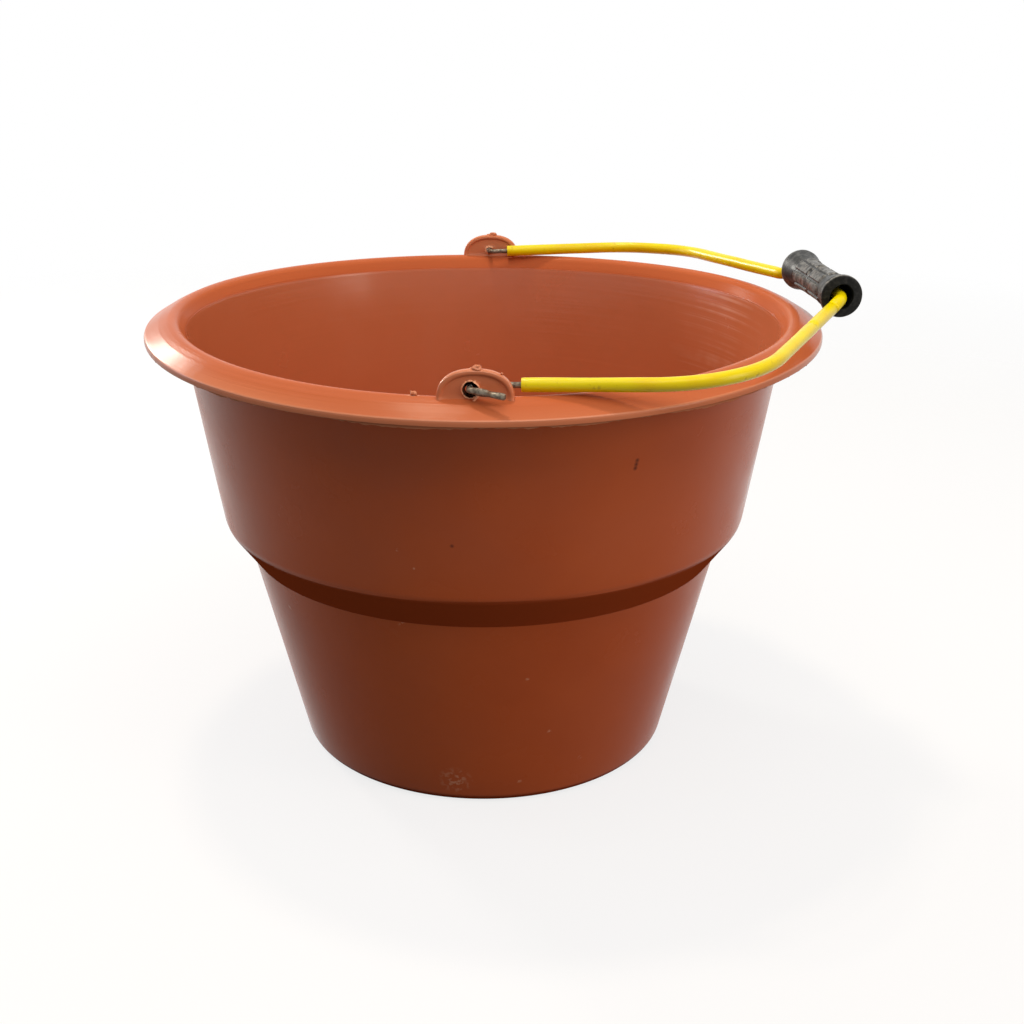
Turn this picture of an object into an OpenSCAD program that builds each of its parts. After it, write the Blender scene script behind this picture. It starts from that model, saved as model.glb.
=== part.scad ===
// Builder's bucket of moulded plastic: a stepped tub with a rolled rim flange and two ears,
// a steel wire bail in a plastic sleeve, and a loose rubber grip on the sleeve.
// Millimetres, +Z up. The origin is the middle of the flat base, on the ground.
// The ears stand at -Y (front) and +Y (back), and the bail lies down towards +X.

/* [Tub] */
// Height of the rim's crest above the ground, at the ears
tub_h = 222; // [200:1:260]
// Outer radius of the base
base_r = 94; // [84:1:104]
// Outer radius of the step's lower, inner corner
step_low_r = 119.5; // [112:0.5:124]
// Height of the step's lower corner
step_low_z = 105.8; // [90:0.2:114]
// Outer radius of the step's upper, outer corner
step_top_r = 132.3; // [128:0.1:138]
// Height of the step's upper corner
step_top_z = 123.3; // [118:0.1:140]
// Inner radius of the mouth, where the wall meets the flange
mouth_r = 145.3; // [140:0.1:152]
// Thickness of the side wall
wall_t = 2; // [1.4:0.1:3]
// Thickness of the floor
floor_t = 2.4; // [1.6:0.1:4]
// Rounding of the base's outer edge
base_round = 7; // [4:0.5:12]
// Rounding of the step's upper corner
step_round = 12; // [4:1:18]
// Rounding of the step's lower, inner corner
step_crease = 1; // [0.4:0.2:3]

/* [Rim flange] */
// How far the crest stands outside the mouth
crest_out = 6.7; // [5:0.1:9]
// Radius of the crest's outer curve
crest_round = 5; // [3.5:0.1:6]
// Slope of the flange from the mouth up to the crest, in degrees
inner_slope = 60; // [50:1:66]
// Slope of the flange from the crest down to the lip, in degrees
outer_slope = 28; // [20:1:34]
// How far the outer edge stands outside the crest
rim_out = 13; // [9:0.5:18]
// Thickness of the flange
flange_t = 2.2; // [1.6:0.1:2.8]
// Height of the lip's outer face
lip_h = 2.6; // [2.2:0.1:5]
// Width of the bead along the lip
bead_w = 2.6; // [2:0.1:4]
// Width of the groove inside the bead
groove_w = 1; // [0.6:0.1:2]
// Depth of the groove inside the bead
groove_d = 0.45; // [0.2:0.05:0.8]

/* [Ears] */
// Width of an ear at its root
ear_w = 32; // [28:1:40]
// Height of an ear above the crest
ear_h = 11.6; // [10.5:0.1:16]
// Thickness of an ear
ear_t = 4.4; // [3.4:0.1:6]
// Radius of an ear's upper corners
ear_round = 8; // [6:0.5:9]
// Width of an ear's flat top
ear_flat = 12; // [8:0.5:16]
// Width of the border round the thinner web
ear_border = 1.6; // [1:0.1:2.4]
// Depth of the web below the border, on each face
web_d = 0.6; // [0.2:0.1:1]
// How far an ear's root reaches down into the flange
ear_root = 2; // [1.6:0.1:2.4]
// Diameter of the hole in an ear
hole_d = 6.4; // [5.6:0.1:7]
// Width of the collar round the hole
collar_w = 1.1; // [0.6:0.1:1.6]
// Radius of the moulding nub on top of an ear, at its root
nub_r = 1.8; // [1:0.1:2.1]
// Height of the moulding nub
nub_h = 2; // [1:0.1:3]

/* [Bail wire] */
// Diameter of the steel wire
wire_d = 2.5; // [2:0.1:3]
// Running clearance between pieces that touch in use
fit_gap = 0.3; // [0.2:0.05:0.4]
// Direction in which the wire bears on the hole's edge, in degrees from +X round by its bottom
seat_angle = 145; // [100:5:180]
// Centreline bend radius of the hooks at the ears
hook_r = 2.4; // [2:0.1:3]
// Length of the hook's tail along X
tail_l = 14.6; // [8:0.1:16]
// How far the tail's end splays outwards
tail_splay = 4.4; // [2:0.1:8]
// How far the tail's end drops
tail_drop = 0.4; // [0:0.1:1]
// How far a side of the bail stands outside the rim's edge at its main bend, front
side_out_front = 24.6; // [19:0.1:32]
// How far a side of the bail stands outside the rim's edge at its main bend, back
side_out_back = 18.7; // [15:0.1:32]
// How far inside the ear the side of the bail starts
side_gap = 1.5; // [1.2:0.1:2]
// How far a side bows outwards from the ear to its main bend
side_bow = 7; // [0:0.5:7]
// How far a side climbs from the ear to its main bend
side_rise = 3; // [1:0.1:6]
// Centreline radius of the main bends
side_r = 60; // [40:1:66]

/* [Grip section] */
// How far the wire's grip section stands outside the crest
grip_out = 13; // [8:0.5:24]
// How far the middle of the grip section lies above the ears' pivot
grip_rise = 15.3; // [10:0.1:20]
// How much further out the front end of the grip section lies than its back end
grip_skew = 8.6; // [0:0.2:10]
// Slope of the grip section from its middle down to its ends, in degrees
arch_slope = 7.2; // [4:0.1:9]
// Centreline bend radius of the grip section's middle
arch_r = 100; // [60:5:120]
// Half the length of the grip section between its two bends
grip_half = 32; // [24:0.5:40]
// Inward step of the crank beside the grip, front
crank_in_front = 5; // [3:0.1:8]
// Inward step of the crank beside the grip, back
crank_in_back = 8.8; // [3:0.1:12]
// Width of the crank along the pivot axis
crank_w = 7.5; // [7:0.5:14]
// Drop of the crank below the middle of the grip section
crank_drop = 5.9; // [4:0.1:8]
// Centreline bend radius of the crank
crank_r = 8; // [5:0.5:10]

/* [Sleeve] */
// Outer diameter of the sleeve
sleeve_d = 6; // [5:0.1:6.2]
// Clearance between the sleeve's bore and the wire
sleeve_gap = 0.3; // [0.1:0.05:0.5]
// Distance of the sleeve's front end from the ears' pivot
sleeve_start_front = 21; // [8:0.5:30]
// Distance of the sleeve's back end from the ears' pivot
sleeve_start_back = 10.6; // [8:0.5:30]

/* [Grip] */
// Length of the grip
grip_l = 66; // [56:1:90]
// Play of the sleeve in the grip's bore, on each side
grip_play = 2.6; // [2:0.1:4]
// Wall of the grip at its waist
grip_wall = 1.5; // [1:0.1:3]
// How far the ends flare outside the waist
flare_h = 3; // [1:0.1:5]
// Length of the flare at each end
flare_l = 16; // [12:0.5:20]
// Length of the cylindrical land at each end
land_l = 2.5; // [2:0.1:4]
// Radius of the flare's long curve
flare_r = 60; // [30:5:100]
// Rounding of the ends' outer edges
end_round = 1.2; // [0.4:0.1:2]
// Chamfer of the bore's two mouths
mouth_cut = 1; // [0.4:0.1:2]
// Rounding between a land and its flare
land_round = 2; // [0.4:0.2:4]
// Number of pads round the grip
pad_n = 8; // [6:1:10]
// Length of a pad
pad_l = 17; // [12:0.5:22]
// Width of a pad
pad_w = 4; // [3:0.1:5]
// Gap between the two rows of pads
pad_gap = 3; // [2:0.5:5]
// Height of a pad above the groove round it
pad_h = 0.6; // [0.3:0.1:1]

/* [Hidden] */
$fn = 72;
wire_fn = 20;
bend_fn = 48;
lap = 0.1;
hair = 0.01;
crisp = 0.4;
lip_round = 0.8;
nub_taper = 0.7;

sleeve_r = sleeve_d / 2;
wire_r = wire_d / 2;
hole_r = hole_d / 2;
bore_r = sleeve_r + grip_play;
waist_r = bore_r + grip_wall;
end_r = waist_r + flare_h;

crest_r = mouth_r + crest_out;
rim_r = crest_r + rim_out;
crest_axis = [crest_r, tub_h - crest_round];
ear_in = crest_r - ear_t / 2;
ear_face = crest_r + ear_t / 2;
ear_top = tub_h + ear_h;

// The bail turns about the wire's own axis where it bears on the ear holes.
wire_y = ear_in - side_gap - sleeve_r;
pivot_z = tub_h + fit_gap + sleeve_r;
seat = hole_r - wire_r - fit_gap;
pivot_x = seat * cos(seat_angle);
hole_z = pivot_z + seat * sin(seat_angle);

function unit(v) = v / norm(v);

// Points of the arc of radius r that rounds corner b of the outline a, b, c
function rounded(a, b, c, r) =
    r <= 0 ? [b] :
    let (steps = r < 1 ? 2 : (r < 3 ? 4 : 6),
         u = unit(a - b), v = unit(c - b), half = acos(u * v) / 2,
         mid = b + unit(u + v) * r / sin(half),
         from = b + u * r / tan(half) - mid,
         to = b + v * r / tan(half) - mid,
         start = atan2(from[1], from[0]),
         swing = atan2(from[0] * to[1] - from[1] * to[0], from * to))
    [for (i = [0:steps]) mid + r * [cos(start + swing * i / steps), sin(start + swing * i / steps)]];

// A closed outline from corners [x, y, rounding]
function outline(k) = [
    for (i = [0:len(k) - 1])
        let (a = k[(i + len(k) - 1) % len(k)], b = k[i], c = k[(i + 1) % len(k)])
        each rounded([a[0], a[1]], [b[0], b[1]], [c[0], c[1]], b[2])
];

// Heights on the flange's two slopes, for a skin of radius r round the crest's axis
function inner_z(r, x) =
    crest_axis[1] + r * cos(inner_slope) + tan(inner_slope) * (x - crest_r + r * sin(inner_slope));
function outer_z(r, x) =
    crest_axis[1] + r * cos(outer_slope) - tan(outer_slope) * (x - crest_r - r * sin(outer_slope));
function peak_x(r) =
    crest_r + r * (cos(outer_slope) - cos(inner_slope) + tan(outer_slope) * sin(outer_slope)
        - tan(inner_slope) * sin(inner_slope)) / (tan(inner_slope) + tan(outer_slope));
function peak(r, round) = [peak_x(r), outer_z(r, peak_x(r)), round];

module bucket_section() {
    under_r = crest_round - flange_t;
    lip_in = rim_r - flange_t;
    lip_z = outer_z(crest_round, rim_r) - lip_h;
    groove_out = rim_r - bead_w;
    groove_in = groove_out - groove_w;
    groove_mid = (groove_in + groove_out) / 2;
    polygon(outline([
        [0, 0, 0],
        [base_r, 0, base_round],
        [step_low_r, step_low_z, step_crease],
        [step_top_r, step_top_z, step_round],
        [mouth_r + wall_t, inner_z(under_r, mouth_r + wall_t), crisp],
        peak(under_r, under_r),
        [lip_in, outer_z(under_r, lip_in), 0],
        [lip_in, lip_z, 0],
        [rim_r, lip_z, crisp],
        [rim_r, outer_z(crest_round, rim_r), lip_round],
        [groove_out, outer_z(crest_round, groove_out), 0],
        [groove_mid, outer_z(crest_round, groove_mid) - groove_d, 0],
        [groove_in, outer_z(crest_round, groove_in), 0],
        peak(crest_round, crest_round),
        [mouth_r, inner_z(crest_round, mouth_r), crisp],
        [step_top_r - wall_t, step_top_z, step_round],
        [step_low_r - wall_t, step_low_z, step_crease],
        [base_r - wall_t, floor_t, base_round - wall_t],
        [0, floor_t, 0]
    ]));
}

// Outline of an ear above the height foot, drawn in by inset on its sides and top
module ear_outline(inset, foot) {
    round = ear_round - inset;
    side = [ear_w / 2 - inset, tub_h - ear_root];
    middle = [ear_flat / 2, ear_top - ear_round];
    reach = side - middle;
    lean = atan2(reach[1], reach[0]) + acos(round / norm(reach));
    touch = middle + round * [cos(lean), sin(lean)];
    intersection() {
        union() {
            polygon([
                [-side[0], side[1]], side, touch,
                [middle[0], ear_top - inset], [-middle[0], ear_top - inset],
                [-touch[0], touch[1]]
            ]);
            for (end = [-1, 1])
                translate([end * middle[0], middle[1]])
                    circle(round);
        }
        translate([-ear_w, foot])
            square([2 * ear_w, 2 * ear_h]);
    }
}

module upright(depth) {
    rotate([90, 0, 0])
        linear_extrude(depth, center = true)
            children();
}

// One ear, standing on the crest at y = crest_r
module ear() {
    difference() {
        translate([0, crest_r, 0])
            upright(ear_t)
                ear_outline(0, tub_h - ear_root);
        for (face = [-1, 1])
            translate([0, crest_r + face * ear_t / 2, 0])
                upright(2 * web_d)
                    difference() {
                        ear_outline(ear_border, tub_h + ear_border / 2);
                        translate([0, hole_z])
                            circle(hole_r + collar_w);
                    }
        translate([0, crest_r, hole_z])
            rotate([90, 0, 0])
                cylinder(2 * ear_t, r = hole_r, center = true);
    }
    translate([0, crest_r, ear_top - nub_h / 2])
        cylinder(nub_h * 3 / 2, r1 = nub_r, r2 = nub_r * nub_taper, $fn = 24);
}

module bucket() {
    color("#9c4f2c") {
        rotate_extrude()
            bucket_section();
        for (turn = [0, 180])
            rotate([0, 0, turn])
                ear();
    }
}

// The bail's centreline corners on one side, from the hook's tail to the grip section's bend.
// side is -1 at the front ear and 1 at the back ear.
grip_x = crest_r + grip_out;
grip_top = pivot_z + grip_rise;
arch_cut = arch_r * (1 / cos(arch_slope) - 1);
arch_drop = norm([grip_half, grip_skew / 2]) * tan(arch_slope) - arch_cut;
function grip_end(side) = [grip_x - side * grip_skew / 2, side * grip_half, grip_top - arch_drop];
function side_corners(side) =
    let (corner_r = rim_r + (side < 0 ? side_out_front : side_out_back),
         corner_y = wire_y + side_bow,
         crank_in = side < 0 ? crank_in_front : crank_in_back,
         hook_y = ear_face + fit_gap + wire_r + hook_r / 2)
    [
        [pivot_x + tail_l, side * (hook_y + tail_splay), pivot_z - tail_drop],
        [pivot_x, side * hook_y, pivot_z],
        [pivot_x, side * wire_y, pivot_z],
        [pivot_x + sqrt(pow(corner_r, 2) - pow(corner_y, 2)), side * corner_y, pivot_z + side_rise],
        [grip_end(side)[0] - crank_in, side * (grip_half + crank_w), grip_top - crank_drop],
        grip_end(side)
    ];
side_bends = [0, hook_r, hook_r, side_r, crank_r, crank_r];

// Corner of the grip section's arch, which its bend cuts down to grip_top
arch_corner = [grip_x, 0, grip_top + arch_cut];

function reversed(v) = [for (i = [len(v) - 1:-1:0]) v[i]];
function from_third(v) = [for (i = [2:len(v) - 1]) v[i]];

wire_path = concat(side_corners(-1), [arch_corner], reversed(side_corners(1)));
wire_bends = concat(side_bends, [arch_r], reversed(side_bends));

// The sleeve follows the same corners from its own two ends.
function sleeve_side(side, start) =
    let (c = from_third(side_corners(side)), along = unit(c[1] - c[0]))
    [for (i = [0:len(c) - 1]) i == 0 ? c[0] + along * start : c[i]];
sleeve_path = concat(
    sleeve_side(-1, sleeve_start_front), [arch_corner], reversed(sleeve_side(1, sleeve_start_back))
);
sleeve_bends = [0, side_r, crank_r, crank_r, arch_r, crank_r, crank_r, side_r, 0];

function turned(p, i) = acos(unit(p[i] - p[i - 1]) * unit(p[i + 1] - p[i]));
function tangent(p, bends, i) =
    i == 0 || i == len(p) - 1 ? 0 : bends[i] * tan(turned(p, i) / 2);

// Direction from corner i towards the inside of its bend, square to the run before or after it
function inside_before(p, i) =
    let (u = unit(p[i] - p[i - 1]), v = unit(p[i + 1] - p[i])) unit(v - u * (u * v));
function inside_after(p, i) =
    let (u = unit(p[i] - p[i - 1]), v = unit(p[i + 1] - p[i])) unit(v * (u * v) - u);
function twist(p, i) =
    i > len(p) - 3 ? 0 :
    let (a = inside_after(p, i), b = inside_before(p, i + 1), along = unit(p[i + 1] - p[i]))
    atan2(cross(a, b) * along, a * b);

// Places a shape with its own X, Y and Z along three unit vectors, at a point
module framed(x, y, z, at) {
    multmatrix([
        [x[0], y[0], z[0], at[0]],
        [x[1], y[1], z[1], at[1]],
        [x[2], y[2], z[2], at[2]]
    ])
        children();
}

module ring(outer, inner) {
    difference() {
        circle(outer, $fn = wire_fn);
        if (inner > 0)
            circle(inner, $fn = wire_fn);
    }
}

// The path from corner i on, drawn from the origin along +Z with its next bend towards +X.
// A bend laps over the straights beside it and is a hair thicker, so that they join as one solid.
module run(path, bends, outer, inner, i) {
    straight = norm(path[i + 1] - path[i]) - tangent(path, bends, i) - tangent(path, bends, i + 1);
    linear_extrude(straight)
        ring(outer, inner);
    if (i < len(path) - 2) {
        r = bends[i + 1];
        turn = turned(path, i + 1);
        over = lap / r * 180 / PI;
        translate([r, 0, straight]) {
            rotate([90, 0, 180])
                rotate([0, 0, -over])
                    rotate_extrude(angle = turn + 2 * over, $fn = r > side_r / 2 ? 2 * bend_fn : bend_fn)
                        translate([r, 0])
                            ring(outer + hair, inner - hair);
            rotate([0, turn, 0])
                translate([-r, 0, 0])
                    rotate([0, 0, twist(path, i + 1)])
                        run(path, bends, outer, inner, i + 1);
        }
    }
}

// A round bar, or a tube where inner is above 0, along a path with rounded bends
module bent(path, bends, outer, inner = 0) {
    x = inside_before(path, 1);
    z = unit(path[1] - path[0]);
    framed(x, cross(z, x), z, path[0])
        run(path, bends, outer, inner, 0);
}

module bail_wire() {
    color("#6b645c")
        bent(wire_path, wire_bends, wire_r);
}

module bail_sleeve() {
    color("#e6c80a")
        bent(sleeve_path, sleeve_bends, sleeve_r, wire_r + sleeve_gap);
}

// Outline of the spool from the radius inner to its surface, raised by lift
module grip_section(inner, lift) {
    half = grip_l / 2;
    polygon(outline([
        [inner, -half + mouth_cut, 0],
        [inner + mouth_cut, -half, 0],
        [end_r + lift, -half, end_round],
        [end_r + lift, -half + land_l, land_round],
        [waist_r + lift, -half + flare_l, flare_r],
        [waist_r + lift, half - flare_l, flare_r],
        [end_r + lift, half - land_l, land_round],
        [end_r + lift, half, end_round],
        [inner + mouth_cut, half, 0],
        [inner, half - mouth_cut, 0]
    ]));
}

module pads() {
    intersection() {
        rotate_extrude()
            grip_section(waist_r - grip_wall / 2, pad_h);
        for (i = [0:pad_n - 1], row = [-1, 1])
            rotate([0, 0, i * 360 / pad_n])
                translate([end_r / 2 + waist_r / 2, 0, row * (pad_l + pad_gap) / 2])
                    cube([end_r, pad_w, pad_l], center = true);
    }
}

module grip() {
    along = unit(grip_end(1) - grip_end(-1));
    out = unit(cross(along, [0, 0, 1]));
    middle = [grip_x, 0, grip_top - (bore_r - sleeve_r - fit_gap)];
    color("#2e2e2e")
        framed(out, cross(along, out), along, middle) {
            rotate_extrude()
                grip_section(bore_r, 0);
            pads();
        }
}

bucket();
bail_wire();
bail_sleeve();
grip();
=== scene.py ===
"""Builder's bucket: the looks of the moulded tub, its ears, the sleeved wire bail and the grip.

Metres throughout, in the CAD frame: +Z up, the middle of the base at the origin, the ears at
-Y (front) and +Y (back), and the bail folded down towards +X.
"""

import math

import bmesh
import bpy
from bpy.props import FloatProperty, FloatVectorProperty, IntProperty, PointerProperty
from mathutils import Matrix, Vector, noise


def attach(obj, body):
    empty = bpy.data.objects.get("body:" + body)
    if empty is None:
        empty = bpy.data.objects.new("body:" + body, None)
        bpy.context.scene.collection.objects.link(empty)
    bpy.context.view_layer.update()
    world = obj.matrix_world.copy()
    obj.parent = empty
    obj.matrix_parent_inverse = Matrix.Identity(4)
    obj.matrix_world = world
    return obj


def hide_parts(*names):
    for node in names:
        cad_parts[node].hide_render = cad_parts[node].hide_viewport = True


bl_info = {
    "name": "Builder's Bucket",
    "version": (1, 0, 0),
    "blender": (4, 5, 0),
    "location": "View3D > Sidebar > Bucket",
    "description": "Dresses the bucket's packed frame with detailed, finished pieces",
    "category": "Object",
}

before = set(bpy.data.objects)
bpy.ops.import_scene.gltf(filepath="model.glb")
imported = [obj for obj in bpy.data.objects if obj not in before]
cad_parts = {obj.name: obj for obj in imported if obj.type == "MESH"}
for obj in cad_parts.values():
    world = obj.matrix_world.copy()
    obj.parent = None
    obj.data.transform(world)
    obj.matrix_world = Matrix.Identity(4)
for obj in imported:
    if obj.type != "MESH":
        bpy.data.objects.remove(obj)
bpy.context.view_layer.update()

MM = 0.001
UP = Vector((0, 0, 1))
FRONT, BACK = -1, 1

# Distances within which two places count as one
TOUCHING = 1e-6
MERGING = 1e-7

# How many parts each round shape is divided into
TUB_STEPS = 600
GRIP_STEPS = 192
EAR_RAYS = 180
EAR_STEPS = 60
BEAD_STEPS = 8
WIRE_SIDES = 24
SLEEVE_SIDES = 40

# Longest stretch of the tub's section, the bail's line and the grip's section
TUB_STRETCH = 14 * MM
BAIL_STRETCH = 1.2 * MM
GRIP_STRETCH = 0.7 * MM

# Pale scuffs and specks on the tub: middle and reach in millimetres, and strength
SCUFFS = (
    ((-11, -96, 14), 9, 0.9),
    ((-34, -132, 148), 1.4, 1.0),
    ((34, -98.5, 42), 1.6, 0.9),
    ((-34, -114.4, 105), 2.5, 0.7),
    ((-91.5, -72.3, 94), 1.8, 0.9),
    ((23, -109.5, 75), 1.3, 0.9),
    ((49, -86, 21.5), 1.5, 0.8),
    ((19.5, -95, 13), 1.6, 0.8),
)

# Painted reflection in streaks that run round the inside: middle and reach in millimetres
PAINTED_REFLECTION = ((126, 66, 205), 46)

# Dark marks on the tub, in the same terms
STAINS = (
    ((69.1, -125.1, 187), 1.4, 0.9),
    ((68.7, -124.9, 185.2), 1.4, 0.9),
    ((68.3, -124.7, 183.4), 1.4, 0.9),
    ((-9.7, -136.5, 151.6), 1.2, 0.8),
)


# Sizes and colours


def length(name, default_mm, description):
    """A length property whose default is given in millimetres."""
    return FloatProperty(name=name, description=description, default=default_mm * MM, unit="LENGTH")


class TubSizes(bpy.types.PropertyGroup):
    """Sizes of the moulded tub, its rolled flange and its ears"""

    height: length("Height", 222.0, "Height of the rim's crest at the ears")
    base_radius: length("Base radius", 94.0, "Outer radius of the base")
    base_round: length("Base rounding", 7.0, "Rounding of the base's outer edge")
    step_low_radius: length("Step low radius", 119.5, "Radius of the step's inner corner")
    step_low_height: length("Step low height", 105.8, "Height of the step's inner corner")
    step_top_radius: length("Step top radius", 132.3, "Radius of the step's outer corner")
    step_top_height: length("Step top height", 123.3, "Height of the step's outer corner")
    step_round: length("Step rounding", 12.0, "Rounding of the step's outer corner")
    mouth_radius: length("Mouth radius", 145.3, "Inner radius where the wall meets the flange")
    wall: length("Wall", 2.0, "Thickness of the side wall")
    floor: length("Floor", 2.4, "Thickness of the floor")
    crest_radius: length("Crest radius", 152.0, "Radius of the circle along the rim's crest")
    crest_round: length("Crest rounding", 5.0, "Radius of the crest's outer curve")
    rim_radius: length("Rim radius", 165.0, "Outer radius of the rim")
    flange: length("Flange", 2.2, "Thickness of the flange")
    lip: length("Lip", 2.6, "Height of the lip's outer face")
    lip_round: length("Lip rounding", 1.7, "Rounding of the rim's upper edge")
    ridge_in: length("Ridge inset", 7.2, "Distance of the flange's faint ridge from the rim's edge")
    ridge: length("Ridge", 0.45, "Height of the ridge above a straight slope")
    ridge_round: length("Ridge rounding", 1.8, "Rounding of the ridge")
    flash: length("Flash", 1.2, "Height of the moulding flash under the lip")
    saddle: length("Saddle", 1.6, "How far the rim is warped up at the sides, as an amplitude")
    ear_half: length("Ear half width", 15.9, "Half the width of an ear at its root")
    ear_height: length("Ear height", 12.3, "Height of an ear above its root")
    ear_root: length("Ear root", 221.6, "Height at which an ear meets the crest")
    ear_thickness: length("Ear thickness", 4.4, "Thickness of an ear")
    ear_bead: length("Ear bead", 1.3, "Rounding of the bead along an ear's edge")
    ear_web: length("Ear web", 0.65, "Depth of the web below the bead")
    hole_mouth: length("Hole mouth", 3.2, "Radius of the front hole's mouth")
    hole_back: length("Hole back", 1.75, "Radius of the front hole on its side towards the tub")
    hole_tight: length("Hole tight", 1.45, "Radius of the back hole, which the wire all but fills")
    hole_x: length("Hole X", -0.8, "Place of the front hole's mouth along X")
    hole_height: length("Hole height", 225.7, "Height of the front hole's mouth")


class BailSizes(bpy.types.PropertyGroup):
    """Sizes of the wire bail and its sleeve, as in the part's source but for the hooks' bends and tails"""

    wire: length("Wire", 2.5, "Diameter of the wire")
    pivot_x: length("Pivot X", -1.3516, "Place of the pivot along X")
    pivot_z: length("Pivot Z", 225.3, "Height of the pivot")
    start_y: length("Start Y", 145.3, "Distance of the wire's inner bend from the middle")
    hook_y: length("Hook Y", 155.6, "Distance of the hook's outer bend from the middle")
    hook_rise: length("Hook rise", 0.8, "How far the front hook's outer bend stands above the pivot")
    hook_bend: length("Hook bend", 2.0, "Bend radius of the hooks")
    tail: length("Tail", 14.6, "Length of the hook's tail along X")
    tail_splay: length("Tail splay", 5.75, "How far the tail's end splays outwards")
    tail_drop: length("Tail drop", 0.4, "How far the tail's end drops")
    main_front: length("Main bend, front", 189.6, "Radius at which the front main bend lies")
    main_back: length("Main bend, back", 183.7, "Radius at which the back main bend lies")
    main_y: length("Main bend Y", 152.3, "Distance of the main bends from the middle")
    main_rise: length("Main bend rise", 3.0, "Height of the main bends above the pivot")
    main_bend: length("Main bend radius", 60.0, "Bend radius of the main bends")
    grip_x: length("Grip X", 165.0, "Place of the grip along X")
    grip_rise: length("Grip rise", 15.3, "Height of the grip section's middle above the pivot")
    grip_skew: length("Grip skew", 8.6, "How much further out the front end of the grip section lies")
    grip_half: length("Grip half", 32.0, "Half the length of the grip section")
    arch_bend: length("Arch bend", 100.0, "Bend radius of the grip section's middle")
    crank_front: length("Crank, front", 5.0, "Inward step of the crank, front")
    crank_back: length("Crank, back", 8.8, "Inward step of the crank, back")
    crank_width: length("Crank width", 7.5, "Width of the crank along Y")
    crank_drop: length("Crank drop", 5.9, "Drop of the crank below the grip section's middle")
    crank_bend: length("Crank bend", 8.0, "Bend radius of the crank")
    sleeve: length("Sleeve", 6.0, "Outer diameter of the sleeve")
    sleeve_bore: length("Sleeve bore", 3.1, "Inner diameter of the sleeve")
    sleeve_front: length("Sleeve start, front", 21.0, "Distance of the front end from the pivot")
    sleeve_back: length("Sleeve start, back", 10.6, "Distance of the back end from the pivot")
    arch_slope: FloatProperty(
        name="Arch slope",
        description="Slope of the grip section from its middle down to its ends",
        default=math.radians(7.2),
        subtype="ANGLE",
    )


class GripSizes(bpy.types.PropertyGroup):
    """Sizes of the grip"""

    length: length("Length", 66.0, "Length of the grip")
    bore: length("Bore", 5.6, "Radius of the bore")
    waist: length("Waist", 7.1, "Radius of the waist")
    end: length("End", 10.1, "Radius of the flared ends")
    land: length("Land", 2.5, "Length of the straight land at each end")
    flare: length("Flare", 16.0, "Length of the flare at each end")
    sag: length("Sag", 2.3, "How far the grip hangs below the wire's line")
    pad: length("Pad", 17.0, "Length of a pad")
    pad_gap: length("Pad gap", 3.0, "Gap between the two rows of pads")
    pad_height: length("Pad height", 0.95, "Height of a pad")
    pads: IntProperty(name="Pads", description="Number of pads round the grip", default=8, min=1)


def linear(hex_code):
    """Turns an sRGB hex code into linear red, green, blue and alpha."""
    parts = [int(hex_code[i : i + 2], 16) / 255 for i in (1, 3, 5)]
    return tuple(c / 12.92 if c <= 0.04045 else ((c + 0.055) / 1.055) ** 2.4 for c in parts) + (1.0,)


def colour(name, hex_code, description):
    """A colour property whose default is given as an sRGB hex code."""
    default = linear(hex_code)[:3]
    return FloatVectorProperty(
        name=name, description=description, subtype="COLOR", size=3, min=0, max=1, default=default
    )


class Finishes(bpy.types.PropertyGroup):
    """Main colours of the four materials"""

    tub: colour("Tub", "#bf5c30", "Brick red of the moulded tub")
    wire: colour("Wire", "#8a8071", "Grey of the drawn wire")
    sleeve: colour("Sleeve", "#ecdb00", "Yellow of the sleeve")
    grip: colour("Grip", "#1a1b1b", "Black of the grip")


# Shapes


def rounded(a, b, c, radius, steps):
    """Points of the arc that rounds corner b of the line a, b, c."""
    if radius <= 0:
        return [b]
    u, v = (a - b).normalized(), (c - b).normalized()
    half = u.angle(v) / 2
    middle = b + (u + v).normalized() * radius / math.sin(half)
    start = b + u * radius / math.tan(half) - middle
    end = b + v * radius / math.tan(half) - middle
    swing = start.angle(end)
    return [
        middle + (start * math.sin(swing * (1 - t)) + end * math.sin(swing * t)) / math.sin(swing)
        for t in (i / steps for i in range(steps + 1))
    ]


def rounded_line(corners):
    """A line through (point, radius, steps) corners, with its inner corners rounded."""
    points = [corners[0][0]]
    for (a, _, _), (b, radius, steps), (c, _, _) in zip(corners, corners[1:], corners[2:]):
        points += rounded(a, b, c, radius, steps)
    return points + [corners[-1][0]]


def smooth(t):
    """A soft step from 0 to 1 while t goes from 0 to 1."""
    t = min(max(t, 0.0), 1.0)
    return t * t * (3 - 2 * t)


def on_circle(angle, reach, height):
    """The place at an angle round the Z axis, at a reach from it and at a height."""
    return Vector((math.cos(angle) * reach, math.sin(angle) * reach, height))


def section(corners):
    """The rounded line through (radius, height, rounding, steps) corners."""
    return rounded_line([(Vector((r, 0, z)), round_r, steps) for r, z, round_r, steps in corners])


def finish_piece(bm, name, body, node, material, crease):
    """Turns a bmesh into a piece that rides on a body and stands for a CAD node.

    Its edges stay crisp where its faces meet at more than crease degrees.
    """
    mesh = bpy.data.meshes.new(name)
    bm.to_mesh(mesh)
    bm.free()
    mesh.materials.append(material)
    mesh.shade_smooth()
    mesh.set_sharp_from_angle(angle=math.radians(crease))
    piece = bpy.data.objects.new(name, mesh)
    bpy.context.scene.collection.objects.link(piece)
    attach(piece, body)
    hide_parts(node)


# Names of the shares stored at the vertices of the plastic and of the grip
PLASTIC_MARKS = ("torn_and_painted_light", "painted_shade_below", "painted_light_up_and_in", "polish", "grime_and_painted_shade")
GRIP_MARKS = ("cut", "rubbed")


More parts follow.
